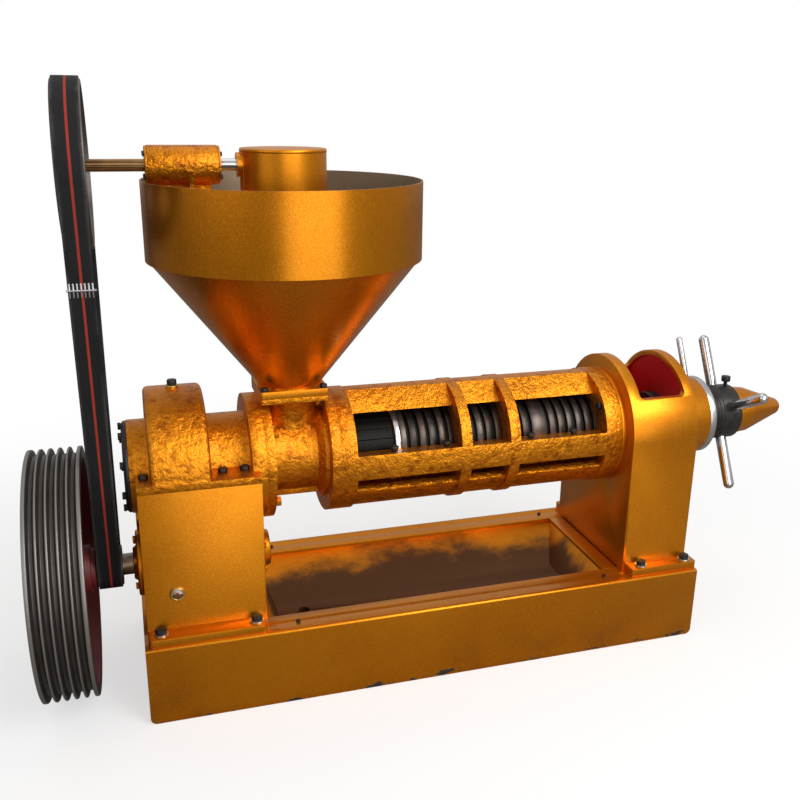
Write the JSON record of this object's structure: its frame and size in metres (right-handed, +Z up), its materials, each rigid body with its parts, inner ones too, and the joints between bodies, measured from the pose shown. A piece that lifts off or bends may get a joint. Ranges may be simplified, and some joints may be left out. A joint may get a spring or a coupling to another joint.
{
  "type": "screw oil press",
  "caption": "Belt-driven screw oil press: seed hopper with stirrer over a split barrel cage, gearbox on the pulley side, screwed cake adjuster at the far end, on a steel bed.",
  "frame": {"origin": "centre of the four anchor holes, on the underside of the bed", "axes": "+X along the worm from the pulley end to the adjuster, +Y to the rear side, +Z up"},
  "size_m": [2.002, 0.6255, 1.3903],
  "materials": {
    "amber_paint": "gloss metallic paint",
    "rough_amber_casting": "rough casting under metallic paint",
    "black_oxide": "black oxide",
    "bright_steel": "bright zinc plate",
    "chrome": "polished chrome",
    "brass": "polished",
    "glass": "clear, oil behind",
    "machined_steel": "ground",
    "oiled_steel": "oily, dark",
    "belt": "woven belt, red stripe",
    "pulley_iron": "machined and blackened",
    "bronze": "machined"
  },
  "bodies": {
    "frame": {"front_rail": "amber_paint", "rear_rail": "amber_paint", "cross_members": "amber_paint", "drip_tray": "amber_paint", "bed_bolts": "black_oxide", "foot_washers": "bright_steel", "gearbox_lower_case": "amber_paint", "gearbox_upper_case": "rough_amber_casting", "gearbox_bolts": "black_oxide", "brass_fittings": "brass", "sight_glass_lens": "glass", "main_bearing_cover": "black_oxide", "shaft_covers": "amber_paint", "cover_bolts": "amber_paint", "gearbox_bearings": "machined_steel", "flat_belt": "belt", "belt_lacing": "bright_steel", "top_bearing_housing": "rough_amber_casting", "top_bushes": "bronze", "gear_can": "amber_paint", "can_lid": "amber_paint", "hopper_band": "amber_paint", "hopper_cone": "amber_paint", "hopper_plates": "amber_paint", "hopper_bolts": "black_oxide", "hopper_beam": "amber_paint", "feed_body": "rough_amber_casting", "feed_studs": "amber_paint", "cage_upper_half": "rough_amber_casting", "cage_lower_half": "rough_amber_casting", "cage_bolts": "black_oxide", "cage_end_ring": "amber_paint", "press_bars": "oiled_steel", "clamp_ring": "bright_steel", "press_rings": "oiled_steel", "discharge_stand": "amber_paint"},
    "drive_line": {"drive_shaft": "machined_steel", "drive_pulley": "pulley_iron", "small_belt_pulley": "pulley_iron"},
    "countershaft": {"counter_pinion_shaft": "machined_steel", "counter_gear": "machined_steel"},
    "main_gear_and_quill": {"main_gear": "machined_steel", "main_quill": "machined_steel"},
    "top_drive": {"large_belt_pulley": "pulley_iron", "top_shaft": "chrome", "bevel_pinion": "machined_steel"},
    "agitator": {"bevel_gear": "machined_steel", "agitator_shaft": "machined_steel", "agitator_arms": "machined_steel", "feed_screw": "machined_steel"},
    "thrust_carriage": {"thrust_bearing": "machined_steel"},
    "adjuster": {"adjusting_sleeve": "oiled_steel", "handle_rods": "chrome", "set_screw": "black_oxide", "cone_cover": "amber_paint"},
    "worm": {"worm_pieces": "oiled_steel", "worm_spacers": "oiled_steel", "worm_shaft": "machined_steel"},
    "lock_nut": {"lock_ring": "bright_steel", "lock_lever": "chrome"}
  },
  "joints": [
    {"name": "drive_turn", "type": "hinge", "parent": "frame", "child": "drive_line", "pos_m": [-0.7, -0.031, 0.308], "axis": [1, 0, 0], "continuous": true},
    {"name": "countershaft_turn", "type": "hinge", "parent": "frame", "child": "countershaft", "pos_m": [-0.55, 0.06578, 0.38868], "axis": [1, 0, 0], "continuous": true},
    {"name": "main_gear_turn", "type": "hinge", "parent": "frame", "child": "main_gear_and_quill", "pos_m": [-0.6, 0, 0.54], "axis": [1, 0, 0], "continuous": true},
    {"name": "top_shaft_turn", "type": "hinge", "parent": "frame", "child": "top_drive", "pos_m": [-0.55, 0, 1.214], "axis": [1, 0, 0], "continuous": true},
    {"name": "agitator_turn", "type": "hinge", "parent": "frame", "child": "agitator", "pos_m": [-0.326, 0, 1], "axis": [0, 0, 1], "continuous": true},
    {"name": "thrust_slide", "type": "slide", "parent": "frame", "child": "thrust_carriage", "axis": [1, 0, 0], "range_m": [-0.004, 0.004]},
    {"name": "adjuster_turn", "type": "hinge", "parent": "thrust_carriage", "child": "adjuster", "pos_m": [0.8, 0, 0.54], "axis": [1, 0, 0], "range_deg": [-360, 360]},
    {"name": "worm_turn", "type": "hinge", "parent": "thrust_carriage", "child": "worm", "pos_m": [0, 0, 0.54], "axis": [1, 0, 0], "continuous": true},
    {"name": "lock_nut_turn", "type": "hinge", "parent": "frame", "child": "lock_nut", "pos_m": [0.793, 0, 0.54], "axis": [1, 0, 0], "range_deg": [0, 120]}
  ],
  "couplings": [
    {"joint": "countershaft_turn", "follows": "drive_turn", "ratio": -0.34043},
    {"joint": "main_gear_turn", "follows": "drive_turn", "ratio": 0.083501},
    {"joint": "worm_turn", "follows": "drive_turn", "ratio": 0.083501},
    {"joint": "top_shaft_turn", "follows": "drive_turn", "ratio": 0.28078},
    {"joint": "agitator_turn", "follows": "drive_turn", "ratio": -0.28078},
    {"joint": "thrust_slide", "follows": "adjuster_turn", "m_per_rad": 0.0006366}
  ]
}
